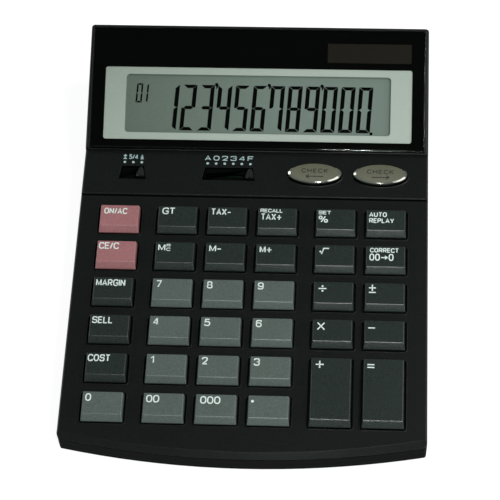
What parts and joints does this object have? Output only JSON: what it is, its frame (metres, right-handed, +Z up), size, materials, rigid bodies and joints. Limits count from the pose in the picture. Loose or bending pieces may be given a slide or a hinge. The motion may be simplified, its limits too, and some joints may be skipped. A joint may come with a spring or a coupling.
{
  "type": "desktop calculator",
  "caption": "Wedge-shaped desktop calculator with a raised, tilted display and solar cell, sprung faceted keys, bright oval keys, slide switches and a curved front edge.",
  "frame": {"origin": "bottom centre of the calculator's bounding box, on the table it stands on", "axes": "+X to the user's right, +Y from the front edge to the display at the back, +Z up"},
  "size_m": [0.141, 0.1843, 0.0382],
  "materials": {
    "case": "fine matte texture",
    "clear_window": "clear, polished",
    "black_print": "printed black behind the window",
    "pale_frame": "satin",
    "display_glass": "satin",
    "solar_glass": "polished",
    "board": "lacquered",
    "resin": "cast",
    "keypad_rubber": "matte",
    "ribbon_film": "film",
    "wire_sleeve": "matte",
    "steel": "plated",
    "foot_rubber": "matte",
    "knob": "gloss",
    "bright_key": "polished plating",
    "key_dark": "satin",
    "key_grey": "satin",
    "key_red": "satin"
  },
  "bodies": {
    "casing": {"upper_case": "case", "lower_case": "case", "display_window": "clear_window", "window_mask": "black_print", "lcd_frame": "pale_frame", "lcd_glass": "display_glass", "solar_cell": "solar_glass", "circuit_board": "board", "chip_cap": "resin", "rubber_keypad": "keypad_rubber", "lcd_ribbon": "ribbon_film", "solar_wires": "wire_sleeve", "battery_cell": "steel", "battery_spring": "steel", "battery_clip": "steel", "battery_cover": "case", "battery_cover_screw": "steel", "case_screws": "steel", "board_screws": "steel", "rubber_feet": "foot_rubber"},
    "key_all_clear": {"key_all_clear": "key_red"},
    "key_grand_total": {"key_grand_total": "key_dark"},
    "key_tax_minus": {"key_tax_minus": "key_dark"},
    "key_tax_plus": {"key_tax_plus": "key_dark"},
    "key_percent": {"key_percent": "key_dark"},
    "key_auto_replay": {"key_auto_replay": "key_dark"},
    "key_clear": {"key_clear": "key_red"},
    "key_memory_recall": {"key_memory_recall": "key_dark"},
    "key_memory_minus": {"key_memory_minus": "key_dark"},
    "key_memory_plus": {"key_memory_plus": "key_dark"},
    "key_root": {"key_root": "key_dark"},
    "key_correct": {"key_correct": "key_dark"},
    "key_margin": {"key_margin": "key_dark"},
    "key_7": {"key_7": "key_grey"},
    "key_8": {"key_8": "key_grey"},
    "key_9": {"key_9": "key_grey"},
    "key_divide": {"key_divide": "key_dark"},
    "key_sign": {"key_sign": "key_dark"},
    "key_sell": {"key_sell": "key_dark"},
    "key_4": {"key_4": "key_grey"},
    "key_5": {"key_5": "key_grey"},
    "key_6": {"key_6": "key_grey"},
    "key_multiply": {"key_multiply": "key_dark"},
    "key_minus": {"key_minus": "key_dark"},
    "key_cost": {"key_cost": "key_dark"},
    "key_1": {"key_1": "key_grey"},
    "key_2": {"key_2": "key_grey"},
    "key_3": {"key_3": "key_grey"},
    "key_plus": {"key_plus": "key_dark"},
    "key_equals": {"key_equals": "key_dark"},
    "key_0": {"key_0": "key_grey"},
    "key_00": {"key_00": "key_grey"},
    "key_000": {"key_000": "key_grey"},
    "key_point": {"key_point": "key_grey"},
    "oval_key_back": {"oval_key_back": "bright_key"},
    "oval_key_forward": {"oval_key_forward": "bright_key"},
    "rounding_switch": {"rounding_knob": "knob", "rounding_wiper": "steel"},
    "decimal_switch": {"decimal_knob": "knob", "decimal_wiper": "steel"}
  },
  "joints": [
    {"name": "key_all_clear_press", "type": "slide", "parent": "casing", "child": "key_all_clear", "axis": [0, 0.0349, -0.9994], "range_m": [0, 0.0016], "stiffness_N_per_m": 400, "springref_m": -0.0005, "deforming": ["rubber_keypad"]},
    {"name": "key_grand_total_press", "type": "slide", "parent": "casing", "child": "key_grand_total", "axis": [0, 0.0349, -0.9994], "range_m": [0, 0.0016], "stiffness_N_per_m": 400, "springref_m": -0.0005, "deforming": ["rubber_keypad"]},
    {"name": "key_tax_minus_press", "type": "slide", "parent": "casing", "child": "key_tax_minus", "axis": [0, 0.0349, -0.9994], "range_m": [0, 0.0016], "stiffness_N_per_m": 400, "springref_m": -0.0005, "deforming": ["rubber_keypad"]},
    {"name": "key_tax_plus_press", "type": "slide", "parent": "casing", "child": "key_tax_plus", "axis": [0, 0.0349, -0.9994], "range_m": [0, 0.0016], "stiffness_N_per_m": 400, "springref_m": -0.0005, "deforming": ["rubber_keypad"]},
    {"name": "key_percent_press", "type": "slide", "parent": "casing", "child": "key_percent", "axis": [0, 0.0349, -0.9994], "range_m": [0, 0.0016], "stiffness_N_per_m": 400, "springref_m": -0.0005, "deforming": ["rubber_keypad"]},
    {"name": "key_auto_replay_press", "type": "slide", "parent": "casing", "child": "key_auto_replay", "axis": [0, 0.0349, -0.9994], "range_m": [0, 0.0016], "stiffness_N_per_m": 400, "springref_m": -0.0005, "deforming": ["rubber_keypad"]},
    {"name": "key_clear_press", "type": "slide", "parent": "casing", "child": "key_clear", "axis": [0, 0.0349, -0.9994], "range_m": [0, 0.0016], "stiffness_N_per_m": 400, "springref_m": -0.0005, "deforming": ["rubber_keypad"]},
    {"name": "key_memory_recall_press", "type": "slide", "parent": "casing", "child": "key_memory_recall", "axis": [0, 0.0349, -0.9994], "range_m": [0, 0.0016], "stiffness_N_per_m": 400, "springref_m": -0.0005, "deforming": ["rubber_keypad"]},
    {"name": "key_memory_minus_press", "type": "slide", "parent": "casing", "child": "key_memory_minus", "axis": [0, 0.0349, -0.9994], "range_m": [0, 0.0016], "stiffness_N_per_m": 400, "springref_m": -0.0005, "deforming": ["rubber_keypad"]},
    {"name": "key_memory_plus_press", "type": "slide", "parent": "casing", "child": "key_memory_plus", "axis": [0, 0.0349, -0.9994], "range_m": [0, 0.0016], "stiffness_N_per_m": 400, "springref_m": -0.0005, "deforming": ["rubber_keypad"]},
    {"name": "key_root_press", "type": "slide", "parent": "casing", "child": "key_root", "axis": [0, 0.0349, -0.9994], "range_m": [0, 0.0016], "stiffness_N_per_m": 400, "springref_m": -0.0005, "deforming": ["rubber_keypad"]},
    {"name": "key_correct_press", "type": "slide", "parent": "casing", "child": "key_correct", "axis": [0, 0.0349, -0.9994], "range_m": [0, 0.0016], "stiffness_N_per_m": 400, "springref_m": -0.0005, "deforming": ["rubber_keypad"]},
    {"name": "key_margin_press", "type": "slide", "parent": "casing", "child": "key_margin", "axis": [0, 0.0349, -0.9994], "range_m": [0, 0.0016], "stiffness_N_per_m": 400, "springref_m": -0.0005, "deforming": ["rubber_keypad"]},
    {"name": "key_7_press", "type": "slide", "parent": "casing", "child": "key_7", "axis": [0, 0.0349, -0.9994], "range_m": [0, 0.0016], "stiffness_N_per_m": 400, "springref_m": -0.0005, "deforming": ["rubber_keypad"]},
    {"name": "key_8_press", "type": "slide", "parent": "casing", "child": "key_8", "axis": [0, 0.0349, -0.9994], "range_m": [0, 0.0016], "stiffness_N_per_m": 400, "springref_m": -0.0005, "deforming": ["rubber_keypad"]},
    {"name": "key_9_press", "type": "slide", "parent": "casing", "child": "key_9", "axis": [0, 0.0349, -0.9994], "range_m": [0, 0.0016], "stiffness_N_per_m": 400, "springref_m": -0.0005, "deforming": ["rubber_keypad"]},
    {"name": "key_divide_press", "type": "slide", "parent": "casing", "child": "key_divide", "axis": [0, 0.0349, -0.9994], "range_m": [0, 0.0016], "stiffness_N_per_m": 400, "springref_m": -0.0005, "deforming": ["rubber_keypad"]},
    {"name": "key_sign_press", "type": "slide", "parent": "casing", "child": "key_sign", "axis": [0, 0.0349, -0.9994], "range_m": [0, 0.0016], "stiffness_N_per_m": 400, "springref_m": -0.0005, "deforming": ["rubber_keypad"]},
    {"name": "key_sell_press", "type": "slide", "parent": "casing", "child": "key_sell", "axis": [0, 0.0349, -0.9994], "range_m": [0, 0.0016], "stiffness_N_per_m": 400, "springref_m": -0.0005, "deforming": ["rubber_keypad"]},
    {"name": "key_4_press", "type": "slide", "parent": "casing", "child": "key_4", "axis": [0, 0.0349, -0.9994], "range_m": [0, 0.0016], "stiffness_N_per_m": 400, "springref_m": -0.0005, "deforming": ["rubber_keypad"]},
    {"name": "key_5_press", "type": "slide", "parent": "casing", "child": "key_5", "axis": [0, 0.0349, -0.9994], "range_m": [0, 0.0016], "stiffness_N_per_m": 400, "springref_m": -0.0005, "deforming": ["rubber_keypad"]},
    {"name": "key_6_press", "type": "slide", "parent": "casing", "child": "key_6", "axis": [0, 0.0349, -0.9994], "range_m": [0, 0.0016], "stiffness_N_per_m": 400, "springref_m": -0.0005, "deforming": ["rubber_keypad"]},
    {"name": "key_multiply_press", "type": "slide", "parent": "casing", "child": "key_multiply", "axis": [0, 0.0349, -0.9994], "range_m": [0, 0.0016], "stiffness_N_per_m": 400, "springref_m": -0.0005, "deforming": ["rubber_keypad"]},
    {"name": "key_minus_press", "type": "slide", "parent": "casing", "child": "key_minus", "axis": [0, 0.0349, -0.9994], "range_m": [0, 0.0016], "stiffness_N_per_m": 400, "springref_m": -0.0005, "deforming": ["rubber_keypad"]},
    {"name": "key_cost_press", "type": "slide", "parent": "casing", "child": "key_cost", "axis": [0, 0.0349, -0.9994], "range_m": [0, 0.0016], "stiffness_N_per_m": 400, "springref_m": -0.0005, "deforming": ["rubber_keypad"]},
    {"name": "key_1_press", "type": "slide", "parent": "casing", "child": "key_1", "axis": [0, 0.0349, -0.9994], "range_m": [0, 0.0016], "stiffness_N_per_m": 400, "springref_m": -0.0005, "deforming": ["rubber_keypad"]},
    {"name": "key_2_press", "type": "slide", "parent": "casing", "child": "key_2", "axis": [0, 0.0349, -0.9994], "range_m": [0, 0.0016], "stiffness_N_per_m": 400, "springref_m": -0.0005, "deforming": ["rubber_keypad"]},
    {"name": "key_3_press", "type": "slide", "parent": "casing", "child": "key_3", "axis": [0, 0.0349, -0.9994], "range_m": [0, 0.0016], "stiffness_N_per_m": 400, "springref_m": -0.0005, "deforming": ["rubber_keypad"]},
    {"name": "key_plus_press", "type": "slide", "parent": "casing", "child": "key_plus", "axis": [0, 0.0349, -0.9994], "range_m": [0, 0.0016], "stiffness_N_per_m": 400, "springref_m": -0.0005, "deforming": ["rubber_keypad"]},
    {"name": "key_equals_press", "type": "slide", "parent": "casing", "child": "key_equals", "axis": [0, 0.0349, -0.9994], "range_m": [0, 0.0016], "stiffness_N_per_m": 400, "springref_m": -0.0005, "deforming": ["rubber_keypad"]},
    {"name": "key_0_press", "type": "slide", "parent": "casing", "child": "key_0", "axis": [0, 0.0349, -0.9994], "range_m": [0, 0.0016], "stiffness_N_per_m": 400, "springref_m": -0.0005, "deforming": ["rubber_keypad"]},
    {"name": "key_00_press", "type": "slide", "parent": "casing", "child": "key_00", "axis": [0, 0.0349, -0.9994], "range_m": [0, 0.0016], "stiffness_N_per_m": 400, "springref_m": -0.0005, "deforming": ["rubber_keypad"]},
    {"name": "key_000_press", "type": "slide", "parent": "casing", "child": "key_000", "axis": [0, 0.0349, -0.9994], "range_m": [0, 0.0016], "stiffness_N_per_m": 400, "springref_m": -0.0005, "deforming": ["rubber_keypad"]},
    {"name": "key_point_press", "type": "slide", "parent": "casing", "child": "key_point", "axis": [0, 0.0349, -0.9994], "range_m": [0, 0.0016], "stiffness_N_per_m": 400, "springref_m": -0.0005, "deforming": ["rubber_keypad"]},
    {"name": "oval_key_back_press", "type": "slide", "parent": "casing", "child": "oval_key_back", "axis": [0, 0.0349, -0.9994], "range_m": [0, 0.0016], "stiffness_N_per_m": 400, "springref_m": -0.0005, "deforming": ["rubber_keypad"]},
    {"name": "oval_key_forward_press", "type": "slide", "parent": "casing", "child": "oval_key_forward", "axis": [0, 0.0349, -0.9994], "range_m": [0, 0.0016], "stiffness_N_per_m": 400, "springref_m": -0.0005, "deforming": ["rubber_keypad"]},
    {"name": "rounding_slide", "type": "slide", "parent": "casing", "child": "rounding_switch", "axis": [1, 0, 0], "range_m": [-0.007, 0]},
    {"name": "decimal_slide", "type": "slide", "parent": "casing", "child": "decimal_switch", "axis": [1, 0, 0], "range_m": [-0.0175, 0]}
  ]
}
